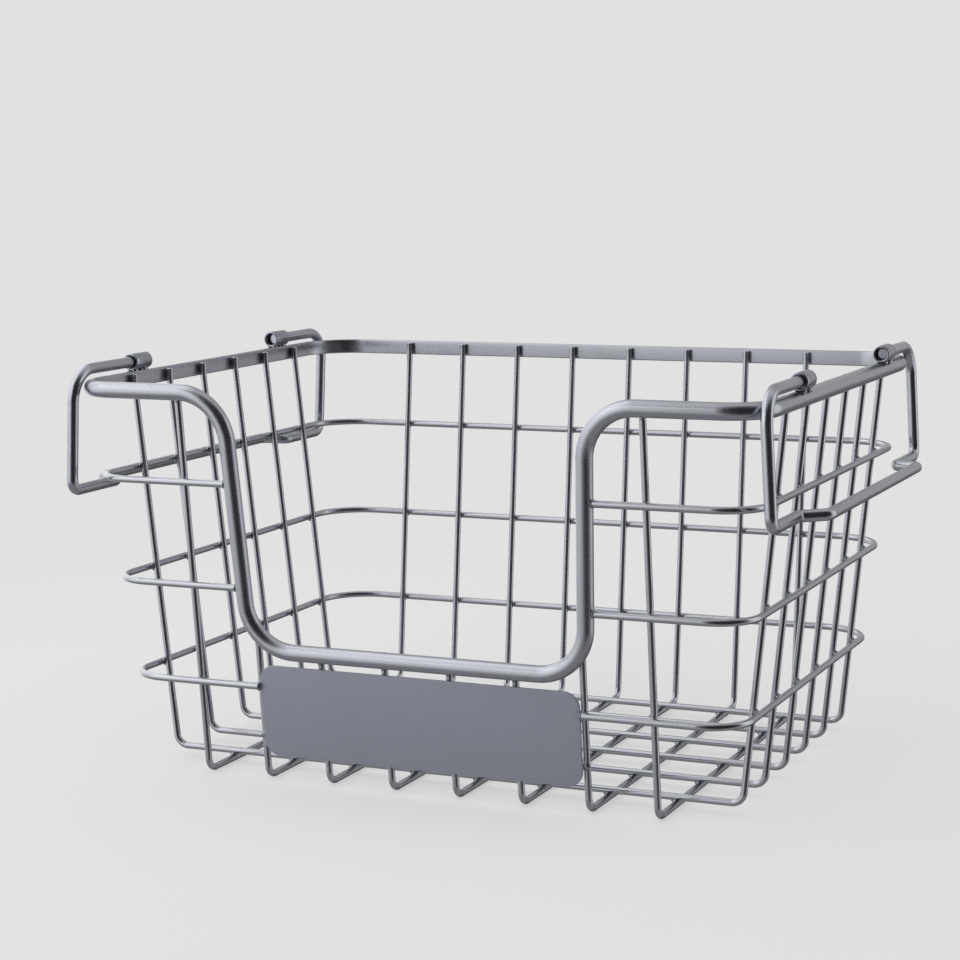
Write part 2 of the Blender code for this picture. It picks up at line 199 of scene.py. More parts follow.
@dataclass(frozen=True)
class SatinEnamel:
    """Satin blue-grey metallic enamel, sprayed and baked on steel."""

    name: str
    dark: tuple[float, float, float]
    light: tuple[float, float, float]
    metallic: float = 0.97
    smooth: float = 0.19
    rough: float = 0.24
    fleck: float = 0.0020
    fleck_layers: float = 3.0
    fleck_share: float = 0.65
    fleck_span: tuple[float, float] = (0.32, 0.68)
    fleck_depth: float = 0.0000003
    peel: float = 0.0050
    peel_depth: float = 0.0000015
    relief: float = 0.6
    clouds_per_metre: float = 22.0
    cloud_drift: float = 0.22
    noise_span: tuple[float, float] = (0.3, 0.7)
    film: float = 0.08
    film_roughness: float = 0.25
    spread: Spread = Spread.SPRAYED

    def material(self) -> bpy.types.Material:
        """Build the finish.

        Returns:
            A material whose tone, gloss and surface vary with the flecks and the orange peel of the coat.
        """
        material = bpy.data.materials.new(self.name)
        material.use_nodes = True
        sheet = NodeSheet(material.node_tree)
        place = sheet.add("ShaderNodeTexCoord").outputs["Object"]
        flecks = self._grain(sheet, place, 1 / self.fleck, self.fleck_layers, self.fleck_share)
        peel = self._grain(sheet, place, 1 / self.peel)
        clouds = self._grain(sheet, place, self.clouds_per_metre)

        tone = sheet.ranged(flecks, self.fleck_span)
        drift = sheet.ranged(clouds, self.noise_span, (-self.cloud_drift, self.cloud_drift))
        share = sheet.combined("ADD", tone, drift, use_clamp=True)
        colour = sheet.mixed(Mixed.COLOUR, share, (*self.dark, 1.0), (*self.light, 1.0))
        gloss = sheet.ranged(flecks, self.noise_span, (self.smooth, self.rough))

        waves = sheet.add(
            "ShaderNodeBump",
            {"Height": peel},
            Strength=self.relief,
            Distance=self.peel_depth,
        )
        grain = sheet.add(
            "ShaderNodeBump",
            {"Height": flecks, "Normal": waves.outputs["Normal"]},
            Strength=self.relief * self.spread.value,
            Distance=self.fleck_depth,
        )
        shader = sheet.add(
            "ShaderNodeBsdfPrincipled",
            {"Base Color": colour, "Roughness": gloss, "Normal": grain.outputs["Normal"]},
            Metallic=self.metallic,
            Coat_Weight=self.film,
            Coat_Roughness=self.film_roughness,
        )
        sheet.add("ShaderNodeOutputMaterial", {"Surface": shader.outputs["BSDF"]})
        return material

    def _grain(
        self,
        sheet: NodeSheet,
        place: bpy.types.NodeSocket,
        scale: float,
        layers: float = 2.0,
        share: float = 0.5,
    ) -> bpy.types.NodeSocket:
        """Add one noise texture.

        Args:
            sheet: The sheet that it is added to.
            place: The coordinates that it reads.
            scale: Its waves in a metre.
            layers: Its number of finer layers.
            share: The share of each finer layer.

        Returns:
            The socket with its height, from 0 to 1.
        """
        texture = sheet.add(
            "ShaderNodeTexNoise",
            {"Vector": place},
            Scale=scale,
            Detail=layers,
            Roughness=share,
        )
        return texture.outputs["Fac"]


RIM_ENAMEL = SatinEnamel(
    "rim_enamel",
    dark=(0.42, 0.43, 0.475),
    light=(0.46, 0.47, 0.52),
    smooth=0.25,
    rough=0.32,
    fleck=0.0012,
    fleck_depth=0.0000007,
)
WIRE_ENAMEL = SatinEnamel("wire_enamel", dark=(0.44, 0.45, 0.49), light=(0.47, 0.48, 0.525))
BAIL_ENAMEL = SatinEnamel(
    "bail_enamel",
    dark=(0.42, 0.43, 0.475),
    light=(0.46, 0.47, 0.52),
    smooth=0.20,
    rough=0.26,
)
PLATE_ENAMEL = SatinEnamel(
    "plate_enamel",
    dark=(0.265, 0.275, 0.335),
    light=(0.285, 0.295, 0.36),
    metallic=0.42,
    smooth=0.36,
    rough=0.44,
    fleck=0.0008,
)
SLEEVE_ENAMEL = SatinEnamel(
    "sleeve_enamel",
    dark=(0.31, 0.32, 0.37),
    light=(0.39, 0.40, 0.45),
    smooth=0.20,
    rough=0.28,
    fleck=0.0009,
    fleck_depth=0.000002,
)
# The welds carry the same enamel as the wires. Their tones are set darker as painted shade of the joints
# between wires, rim and sleeves, and the coat's random grain lies on top.
WELD_ENAMEL_PAINTED_SHADE = SatinEnamel(
    "weld_enamel_painted_shade",
    dark=(0.28, 0.29, 0.33),
    light=(0.38, 0.39, 0.44),
    smooth=0.18,
    rough=0.28,
    spread=Spread.POOLED,
)


@dataclass
class Piece:
    """A finished mesh with what it rides on, stands for and is coated with."""

    name: str
    mesh: bpy.types.Mesh
    body: str
    slot: str
    stands_for: tuple[str, ...]
    coat: bpy.types.Material

    def place(self) -> bpy.types.Object:
        """Add the piece to the scene and to its body.

        Returns:
            The new object.
        """
        item = bpy.data.objects.new(self.name, self.mesh)
        bpy.context.scene.collection.objects.link(item)
        self.mesh.materials.append(self.coat)
        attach(item, self.body)
        if self.stands_for:
            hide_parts(*self.stands_for)
        LOG.info("%s: %d faces, rides on %s", self.name, len(self.mesh.polygons), self.body)
        return item


def dress(node: str, mesh: bpy.types.Mesh, body: str, slot: str, coat: bpy.types.Material) -> None:
    """Coat a mesh and put it in place of one node of the frame."""
    Piece(f"coated_{node}", mesh, body, slot, (node,), coat).place()


@dataclass
class Route:
    """The centre line of a bent piece, given by its corners and the bend radius at each."""

    corners: list[Vector]
    radii: list[float]
    closed: bool = False
    step: float = math.radians(5.0)

    def points(self) -> list[Vector]:
        """Follow the route.

        Returns:
            Its points, with each corner replaced by an arc where it has a radius.
        """
        count = len(self.corners)
        path: list[Vector] = []
        for index, corner in enumerate(self.corners):
            at_end = not self.closed and index in (0, count - 1)
            if at_end or self.radii[index] == 0:
                path.append(corner.copy())
                continue
            after = self.corners[(index + 1) % count]
            path.extend(self._arc(self.corners[index - 1], corner, after, self.radii[index]))
        return path

    def _arc(self, before: Vector, corner: Vector, after: Vector, radius: float) -> list[Vector]:
        """Round one corner.

        Args:
            before: The corner before it.
            corner: The corner that is rounded.
            after: The corner after it.
            radius: The radius of the bend.

        Returns:
            The points of the arc.
        """
        back = (before - corner).normalized()
        ahead = (after - corner).normalized()
        opening = back.angle(ahead)
        turn = math.pi - opening
        centre = corner + (back + ahead).normalized() * (radius / math.sin(opening / 2))
        set_off = radius / math.tan(opening / 2)
        first = corner + back * set_off - centre
        last = corner + ahead * set_off - centre
        steps = max(2, math.ceil(turn / self.step))
        arc = []
        for index in range(steps + 1):
            share = index / steps
            spoke = first * math.sin((1 - share) * turn) + last * math.sin(share * turn)
            arc.append(centre + spoke / math.sin(turn))
        return arc

    def directions(self, points: list[Vector]) -> list[Vector]:
        """Find the direction of travel at each point.

        Args:
            points: The points of the route.

        Returns:
            One unit vector a point.
        """
        count = len(points)
        result = []
        for index, point in enumerate(points):
            direction = Vector((0, 0, 0))
            if self.closed or index > 0:
                direction += (point - points[index - 1]).normalized()
            if self.closed or index < count - 1:
                direction += (points[(index + 1) % count] - point).normalized()
            result.append(direction.normalized())
        return result


@dataclass(frozen=True)
class Station:
    """One place of a section on its route, with the way ahead and the section's facing and size."""

    point: Vector
    ahead: Vector
    facing: Vector
    size: float = 1.0

    def loop(self, section: list[tuple[float, float]]) -> list[Vector]:
        """Set out the section.

        Args:
            section: Its outline, as lengths along the facing and beside it.

        Returns:
            The corners in place.
        """
        beside = self.ahead.cross(self.facing)
        return [self.point + (self.facing * out + beside * along) * self.size for out, along in section]


class Sweep:
    """A section carried along a route, as one closed surface."""

    def __init__(self, route: Route) -> None:
        """Prepare the route.

        Args:
            route: The centre line to follow.
        """
        self.route = route
        self.points = route.points()
        self.directions = route.directions(self.points)

    def carried(self, first_facing: Vector) -> list[Vector]:
        """Carry a facing along the route without twist.

        Args:
            first_facing: The facing at its start.

        Returns:
            The facing at each point.
        """
        facing = first_facing
        result = []
        for direction in self.directions:
            facing = (facing - direction * facing.dot(direction)).normalized()
            result.append(facing)
        return result

    def solid(
        self,
        name: str,
        section: list[tuple[float, float]],
        facings: list[Vector],
        cut: float = 0.0,
    ) -> bpy.types.Mesh:
        """Build the surface.

        Args:
            name: The name of the mesh.
            section: The outline of the section, as lengths along the facing and beside it.
            facings: The facing at each point of the route.
            cut: The width of the worn edge round a cut end, 0 on a closed route.

        Returns:
            The mesh, smooth, with sharp edges where it turns sharply.
        """
        stations = [Station(*places) for places in zip(self.points, self.directions, facings)]
        if not self.route.closed and cut > 0:
            reach = max(math.hypot(*corner) for corner in section)
            stations = self._worn_ends(stations, cut, 1 - cut / reach)
        shape = bmesh.new()
        loops = skin(shape, [station.loop(section) for station in stations], self.route.closed)
        if not self.route.closed:
            shape.faces.new(reversed(loops[0]))
            shape.faces.new(loops[-1])
        return finished_mesh(name, shape)

    def wire(self, name: str, diameter: float, sides: int, facing: Vector, cut: float) -> bpy.types.Mesh:
        """Bend a round wire along the route.

        Args:
            name: The name of the mesh.
            diameter: The wire's diameter.
            sides: The facets of its section.
            facing: The facing at its start.
            cut: The width of the worn edge at its ends.

        Returns:
            The mesh.
        """
        return self.solid(name, circle(diameter, sides), self.carried(facing), cut)

    @staticmethod
    def _worn_ends(stations: list[Station], cut: float, size: float) -> list[Station]:
        """Break the edges of both cut ends.

        Args:
            stations: The places of the section along the route.
            cut: How far from the end the edge starts.
            size: The size of the section at the very end.

        Returns:
            The stations with a smaller one at each end.
        """
        first, last = stations[0], stations[-1]
        return [
            replace(first, size=size),
            replace(first, point=first.point + first.ahead * cut),
            *stations[1:-1],
            replace(last, point=last.point - last.ahead * cut),
            replace(last, size=size),
        ]


def skin(
    shape: bmesh.types.BMesh,
    outlines: list[list[Vector]],
    closed: bool = False,
) -> list[list[bmesh.types.BMVert]]:
    """Lay a surface over outlines that follow each other.

    Args:
        shape: The bmesh that it is added to.
        outlines: The outlines, each with the same number of points.
        closed: Whether the last is joined to the first. Otherwise both ends stay open.

    Returns:
        The corners of each outline.
    """
    loops = [[shape.verts.new(point) for point in outline] for outline in outlines]
    following_loops = loops[1:] + loops[:1] if closed else loops[1:]
    for loop, following in zip(loops, following_loops):
        for corner in range(len(loop)):
            beyond = (corner + 1) % len(loop)
            shape.faces.new((loop[corner], loop[beyond], following[beyond], following[corner]))
    return loops


def finished_mesh(name: str, shape: bmesh.types.BMesh, sharp: float = 40.0) -> bpy.types.Mesh:
    """Turn a bmesh into a mesh that faces outwards and is shaded smooth.

    Args:
        name: The name of the mesh.
        shape: The bmesh, which is freed.
        sharp: The angle in degrees from which an edge stays sharp.

    Returns:
        The mesh.
    """
    bmesh.ops.recalc_face_normals(shape, faces=shape.faces)
    mesh = bpy.data.meshes.new(name)
    shape.to_mesh(mesh)
    shape.free()
    mesh.shade_smooth()
    mesh.set_sharp_from_angle(angle=math.radians(sharp))
    return mesh


def circle(diameter: float, sides: int) -> list[tuple[float, float]]:
    """Give the outline of a round section.

    Args:
        diameter: Its diameter.
        sides: Its number of facets.

    Returns:
        Its corners.
    """
    angles = [2 * math.pi * (side + 0.5) / sides for side in range(sides)]
    return [(diameter / 2 * math.cos(angle), diameter / 2 * math.sin(angle)) for angle in angles]


@dataclass(frozen=True)
class Walls:
    """The leaning walls, and the heights that the other pieces follow."""

    base_width: float = 0.2670
    base_depth: float = 0.1930
    lean: float = math.radians(6.0)
    rim_height: float = 0.1745
    rim_bar_height: float = 0.0070
    wire_radius: float = 0.0015
    weld_gap: float = 0.0003

    @property
    def rim_underside(self) -> float:
        """Height of the rim's lower edge."""
        return self.rim_height - self.rim_bar_height

    @property
    def rim_middle(self) -> float:
        """Height of the middle of the rim."""
        return self.rim_height - self.rim_bar_height / 2

    @property
    def face_offset(self) -> float:
        """From the wires' centre lines to what is welded to their outside."""
        return self.wire_radius + self.weld_gap

    @property
    def welded_pitch(self) -> float:
        """Between the centre lines of two wires that cross."""
        return 2 * self.wire_radius + self.weld_gap

    def half_width(self, height: float) -> float:
        """Distance from the middle to a side wall's wires at a height."""
        return self.base_width / 2 + math.tan(self.lean) * min(height, self.rim_underside)

    def half_depth(self, height: float) -> float:
        """Distance from the middle to an end wall's wires at a height."""
        return self.base_depth / 2 + math.tan(self.lean) * min(height, self.rim_underside)


@dataclass(frozen=True)
class Lump:
    """The half sizes of a lump of weld metal, and how uneven it is."""

    out: float
    along: float
    beside: float
    uneven: float = 0.16
    coarse_waves: float = 1.3
    fine_waves: float = 3.1

    def scaled(self, share: float) -> "Lump":
        """Give the same lump at another size."""
        return replace(self, out=self.out * share, along=self.along * share, beside=self.beside * share)

    def swell(self, unit: Vector, shift: Vector) -> float:
        """How far the lump swells in one direction.

        Args:
            unit: The direction from its middle.
            shift: The place in the noise that gives it its own form.

        Returns:
            Its size there, where 1 is even.
        """
        coarse = self.uneven * noise.noise(unit * self.coarse_waves + shift)
        fine = self.uneven / 2 * noise.noise(unit * self.fine_waves - shift)
        return 1 + coarse + fine


@dataclass(frozen=True)
class WeldSpot:
    """One lump of weld metal in place, with two of its directions."""

    centre: Vector
    out: Vector
    along: Vector
    lump: Lump
    seed_steps: tuple[float, float, float] = (3.71, 1.93, 5.17)

    def add_to(self, shape: bmesh.types.BMesh, seed: int, fineness: int) -> None:
        """Add the lump to a bmesh.

        Args:
            shape: The bmesh.
            seed: A number that gives each lump its own form.
            fineness: The subdivisions of the lump.
        """
        beside = self.along.cross(self.out).normalized()
        along = self.out.cross(beside).normalized()
        made = bmesh.ops.create_icosphere(shape, subdivisions=fineness, radius=1.0)
        shift = Vector([seed * step for step in self.seed_steps])
        for vertex in made["verts"]:
            unit = vertex.co.normalized()
            unit = unit * self.lump.swell(unit, shift)
            vertex.co = (
                self.centre
                + self.out.normalized() * unit.x * self.lump.out
                + along * unit.y * self.lump.along
                + beside * unit.z * self.lump.beside
            )


@dataclass
class Grid:
    """The wires that cross under the floor and rise up the walls."""

    walls: Walls
    coat: bpy.types.Material
    deep_count: int = 8
    wide_count: int = 6
    side_bay: float = 0.0285
    end_bay: float = 0.0215
    bend_radius: float = 0.0055
    rim_kink_radius: float = 0.0120
    top_setback: float = 0.0010
    sides: int = 24
    cut: float = 0.00025
    crossing_weld: Lump = Lump(0.0011, 0.0020, 0.0020)

    @property
    def deep_floor(self) -> float:
        """Height of the front-to-back wires on the floor."""
        return self.walls.wire_radius

    @property
    def wide_floor(self) -> float:
        """Height of the side-to-side wires on the floor."""
        return self.walls.wire_radius + self.walls.welded_pitch

    def deep_places(self) -> list[float]:
        """X of each front-to-back wire."""
        pitch = (self.walls.base_width - 2 * self.side_bay) / (self.deep_count - 1)
        return [(index - (self.deep_count - 1) / 2) * pitch for index in range(self.deep_count)]

    def wide_places(self) -> list[float]:
        """Y of each side-to-side wire."""
        pitch = (self.walls.base_depth - 2 * self.end_bay) / (self.wide_count - 1)
        return [(index - (self.wide_count - 1) / 2) * pitch for index in range(self.wide_count)]

    def deep_wire(self, name: str, x: float, front_top: float) -> bpy.types.Mesh:
        """Bend one front-to-back wire.

        Args:
            name: The name of the mesh.
            x: Its place across the basket.
            front_top: The height of its front end.

        Returns:
            The mesh.
        """
        walls = self.walls
        front_heights = [front_top, self.deep_floor]
        if front_top > walls.rim_underside:
            front_heights.insert(1, walls.rim_underside)
        rear_heights = [self.deep_floor, walls.rim_underside, walls.rim_height - self.top_setback]
        corners = [Vector((x, -walls.half_depth(height), height)) for height in front_heights]
        corners += [Vector((x, walls.half_depth(height), height)) for height in rear_heights]
        bend, kink = self.bend_radius, self.rim_kink_radius
        radii = [0, kink][: len(front_heights) - 1] + [bend, bend, kink, 0]
        sweep = Sweep(Route(corners, radii))
        return sweep.wire(name, 2 * walls.wire_radius, self.sides, ACROSS, self.cut)

    def wide_wire(self, name: str, y: float) -> bpy.types.Mesh:
        """Bend one side-to-side wire.

        Args:
            name: The name of the mesh.
            y: Its place from front to back.

        Returns:
            The mesh.
        """
        walls = self.walls
        heights = [self.wide_floor, walls.rim_underside, walls.rim_height - self.top_setback]
        right = [Vector((walls.half_width(height), y, height)) for height in heights]
        left = [Vector((-corner.x, corner.y, corner.z)) for corner in reversed(right)]
        bend, kink = self.bend_radius, self.rim_kink_radius
        sweep = Sweep(Route(left + right, [0, kink, bend, bend, kink, 0]))
        return sweep.wire(name, 2 * walls.wire_radius, self.sides, BACKWARDS, self.cut)

    def build(self, rim: "Rim") -> None:
        """Build and dress every wire.

        Args:
            rim: The rim, whose opening ends some of the wires.
        """
        for index, x in enumerate(self.deep_places()):
            name = f"front_to_back_wire_{index + 1}"
            mesh = self.deep_wire(name, x, rim.wire_top(x, self.top_setback))
            dress(name, mesh, "basket", "grid_wire", self.coat)
        for index, y in enumerate(self.wide_places()):
            name = f"side_to_side_wire_{index + 1}"
            dress(name, self.wide_wire(name, y), "basket", "grid_wire", self.coat)

    def welds(self) -> list[WeldSpot]:
        """List the welds where the wires cross on the floor.

        Returns:
            One spot a crossing.
        """
        height = (self.deep_floor + self.wide_floor) / 2
        return [
            WeldSpot(Vector((x, y, height)), UP, ACROSS, self.crossing_weld)
            for x in self.deep_places()
            for y in self.wide_places()
        ]


@dataclass
class Rim:
    """The half-round bar that closes the walls and dips at the front.

    It counts as level down to level_part below its middle height, and leans with the wall below that.
    """

    walls: Walls
    coat: bpy.types.Material
    bar_depth: float = 0.0050
    edge_radius: float = 0.0005
    front_radius: float = 0.0165
    back_radius: float = 0.0225
    opening_width: float = 0.1548
    opening_flare: float = 0.00425
    sill_height: float = 0.0595
    bend_radius: float = 0.0220
    round_steps: int = 28
    edge_steps: int = 4
    bend_step: float = math.radians(3.0)
    level_part: float = 0.0003
    end_weld: Lump = Lump(0.0008, 0.0029, 0.0014, 0.1)
    end_weld_drop: float = 0.0004
    foot_weld: Lump = Lump(0.0006, 0.0014, 0.0010, 0.1)
    foot_weld_drop: float = 0.0037
    foot_weld_out: float = 0.0001

    @property
    def half_width(self) -> float:
        """Distance from the middle to the flat face of a side."""
        return self.walls.half_width(self.walls.rim_middle) + self.walls.face_offset

    @property
    def half_depth(self) -> float:
        """Distance from the middle to the flat face of an end."""
        return self.walls.half_depth(self.walls.rim_middle) + self.walls.face_offset

    def leg_place(self, height: float) -> float:
        """Distance from the middle to the centre line of the opening's leg at a height."""
        share = (height - self.sill_height) / (self.walls.rim_middle - self.sill_height)
        return self.opening_width / 2 + self.opening_flare * share

    def bend_rise(self, x: float) -> float:
        """Find how far the bar has risen from the sill.

        Args:
            x: A place under the opening, from the middle.

        Returns:
            The height of the bar's centre line over the sill there.
        """
        lean = math.atan2(self.opening_flare, self.walls.rim_middle - self.sill_height)
        reach = self.bend_radius * math.tan((math.pi / 2 - lean) / 2)
        into_bend = min(max(abs(x) - (self.opening_width / 2 - reach), 0), self.bend_radius)
        return self.bend_radius - math.sqrt(self.bend_radius**2 - into_bend**2)

    def wire_top(self, x: float, setback: float) -> float:
        """Height of the front end of a front-to-back wire.

        Args:
            x: The wire's place across the basket.
            setback: How far it ends below the edge of the bar.

        Returns:
            The height.
        """
        if abs(x) > self.opening_width / 2 + self.opening_flare:
            return self.walls.rim_height - setback
        return self.sill_height + self.bend_rise(x) + self.walls.rim_bar_height / 2 - setback

    def section(self) -> list[tuple[float, float]]:
        """Outline the bar: flat towards the basket, round outwards, with eased edges.

        Returns:
            The corners of the section.
        """
        radius = self.walls.rim_bar_height / 2
        straight = self.bar_depth - radius
        outline = []
        for index in range(self.round_steps + 1):
            angle = math.pi * (index / self.round_steps - 0.5)
            outline.append((straight + radius * math.cos(angle), radius * math.sin(angle)))
        for sign, start in ((1, math.pi / 2), (-1, math.pi)):
            for index in range(self.edge_steps + 1):
                angle = start + math.pi / 2 * index / self.edge_steps
                out = self.edge_radius * (1 + math.cos(angle))
                beside = sign * (radius - self.edge_radius) + self.edge_radius * math.sin(angle)
                outline.append((out, beside))
        return outline

    def route(self) -> Route:
        """Lay out the centre line of the flat face.

        Returns:
            A closed route, anticlockwise from above.
        """
        across, deep, middle = self.half_width, self.half_depth, self.walls.rim_middle
        top_x = self.opening_width / 2 + self.opening_flare
        sill_x = self.opening_width / 2
        sill_deep = self.walls.half_depth(self.sill_height) + self.walls.face_offset
        corners = [
            Vector((across, deep, middle)),
            Vector((-across, deep, middle)),
            Vector((-across, -deep, middle)),
            Vector((-top_x, -deep, middle)),
            Vector((-sill_x, -sill_deep, self.sill_height)),
            Vector((sill_x, -sill_deep, self.sill_height)),
            Vector((top_x, -deep, middle)),
            Vector((across, -deep, middle)),
        ]
        back, front, bend = self.back_radius, self.front_radius, self.bend_radius
        radii = [back, back, front, bend, bend, bend, bend, front]
        return Route(corners, radii, closed=True, step=self.bend_step)

    def facings(self, sweep: Sweep) -> list[Vector]:
        """Turn the flat face inwards all the way round.

        Args:
            sweep: The sweep of the bar.

        Returns:
            The directions away from the flat face.
        """
        level = -BACKWARDS
        leaning = Vector((0, -math.cos(self.walls.lean), -math.sin(self.walls.lean)))
        result = []
        for point, direction in zip(sweep.points, sweep.directions):
            depth = self.walls.rim_middle - point.z
            if depth > self.level_part:
                outward = level.lerp(leaning, min(1, depth / self.bend_radius))
            else:
                outward = direction.cross(UP)
            result.append((outward - direction * outward.dot(direction)).normalized())
        return result

    def build(self) -> None:
        """Build and dress the bar."""
        sweep = Sweep(self.route())
        mesh = sweep.solid("rim_bar", self.section(), self.facings(sweep))
        dress("rim", mesh, "basket", "rim", self.coat)

    def welds(self, grid: Grid) -> list[WeldSpot]:
        """List the welds that hold the wires' ends to the flat face.

        Args:
            grid: The wires.

        Returns:
            A long lump behind each wire, and a small one where it passes under the bar.
        """
        walls = self.walls
        middle = walls.rim_middle
        spots = []
        for side in Side:
            x = side.value * (walls.half_width(middle) + walls.face_offset / 2)
            for y in grid.wide_places():
                spots += self._end_welds(Vector((x, y, middle)), side.value * ACROSS, UP)
        for end in End:
            y = end.value * (walls.half_depth(middle) + walls.face_offset / 2)
            for x in grid.deep_places():
                if end is End.BACK or abs(x) > self.opening_width / 2 + self.opening_flare:
                    spots += self._end_welds(Vector((x, y, middle)), end.value * BACKWARDS, UP)
        return spots + self._sill_welds(grid)

    def _end_welds(self, centre: Vector, out: Vector, up: Vector) -> list[WeldSpot]:
        """Weld one wire's end.

        Args:
            centre: The middle of the joint.
            out: The direction away from the basket.
            up: The direction of the wire.

        Returns:
            The lump behind the wire, and the one under the bar.
        """
        foot = centre - up * self.foot_weld_drop + out * self.foot_weld_out
        return [
            WeldSpot(centre - up * self.end_weld_drop, out, up, self.end_weld),
            WeldSpot(foot, out, up, self.foot_weld),
        ]

    def _sill_welds(self, grid: Grid) -> list[WeldSpot]:
        """Weld the wires that end at the opening.

        Args:
            grid: The wires.

        Returns:
            Their lumps.
        """
        walls = self.walls
        out = Vector((0, -math.cos(walls.lean), math.sin(walls.lean)))
        up = Vector((0, math.sin(walls.lean), math.cos(walls.lean)))
        spots = []
        for x in grid.deep_places():
            if abs(x) <= self.opening_width / 2:
                height = self.sill_height + self.bend_rise(x)
                deep = walls.half_depth(height) + walls.face_offset / 2
                spots += self._end_welds(Vector((x, -deep, height)), out, up)
        return spots


@dataclass
class Rings:
    """The three wires that run round the outside of the walls."""

    walls: Walls
    rim: Rim
    coat: bpy.types.Material
    plate_end: float
    heights: dict[str, float] = field(
        default_factory=lambda: {"bottom": 0.0430, "middle": 0.0865, "top": 0.1320}
    )
    front_radius: float = 0.0180
    back_radius: float = 0.0240
    sides: int = 24
    bend_step: float = math.radians(3.0)
    cut: float = 0.0002
    end_weld: Lump = Lump(0.0009, 0.0019, 0.0019, 0.25)
    end_weld_gap: float = 0.0002

    @property
    def off_wall(self) -> float:
        """Between the centre lines of the ring and the wall, level."""
        return self.walls.welded_pitch / math.cos(self.walls.lean)

    def end_place(self, height: float) -> float:
        """Find where a ring ends, at a leg of the opening or beside the plate.

        Args:
            height: The height of the ring.

        Returns:
            The distance from the middle to its ends.
        """
        if height > self.rim.sill_height:
            return self.rim.leg_place(height) + self.walls.rim_bar_height / 2
        return self.plate_end

    def ring(self, name: str, height: float) -> bpy.types.Mesh:
        """Bend one ring.

        Args:
            name: The name of the mesh.
            height: Its height.

        Returns:
            The mesh.
        """
        across = self.walls.half_width(height) + self.off_wall
        deep = self.walls.half_depth(height) + self.off_wall
        end = self.end_place(height)
        corners = [
            Vector((-end, -deep, height)),
            Vector((-across, -deep, height)),
            Vector((-across, deep, height)),
            Vector((across, deep, height)),
            Vector((across, -deep, height)),
            Vector((end, -deep, height)),
        ]
        radii = [0, self.front_radius, self.back_radius, self.back_radius, self.front_radius, 0]
        sweep = Sweep(Route(corners, radii, step=self.bend_step))
        return sweep.wire(name, 2 * self.walls.wire_radius, self.sides, UP, self.cut)

    def build(self) -> None:
        """Build and dress the rings."""
        for level, height in self.heights.items():
            name = f"ring_{level}"
            dress(name, self.ring(name, height), "basket", "grid_wire", self.coat)

    def welds(self, grid: Grid) -> list[WeldSpot]:
        """List the welds of the rings to the wires and to the opening's legs.

        Args:
            grid: The wires.

        Returns:
            One spot a joint.
        """
        walls = self.walls
        cos_lean, sin_lean = math.cos(walls.lean), math.sin(walls.lean)
        spots = []
        for height in self.heights.values():
            across = walls.half_width(height) + self.off_wall / 2
            deep = walls.half_depth(height) + self.off_wall / 2
            for side in Side:
                out = Vector((side.value * cos_lean, 0, -sin_lean))
                for y in grid.wide_places():
                    centre = Vector((side.value * across, y, height))
                    spots.append(WeldSpot(centre, out, UP, grid.crossing_weld))
            for end in End:
                out = Vector((0, end.value * cos_lean, -sin_lean))
                for x in grid.deep_places():
                    if end is End.BACK or abs(x) > self.end_place(height):
                        centre = Vector((x, end.value * deep, height))
                        spots.append(WeldSpot(centre, out, UP, grid.crossing_weld))
            for side in Side:
                x = side.value * (self.end_place(height) + self.end_weld_gap)
                centre = Vector((x, -walls.half_depth(height) - self.off_wall, height))
                spots.append(WeldSpot(centre, side.value * ACROSS, UP, self.end_weld))
        return spots


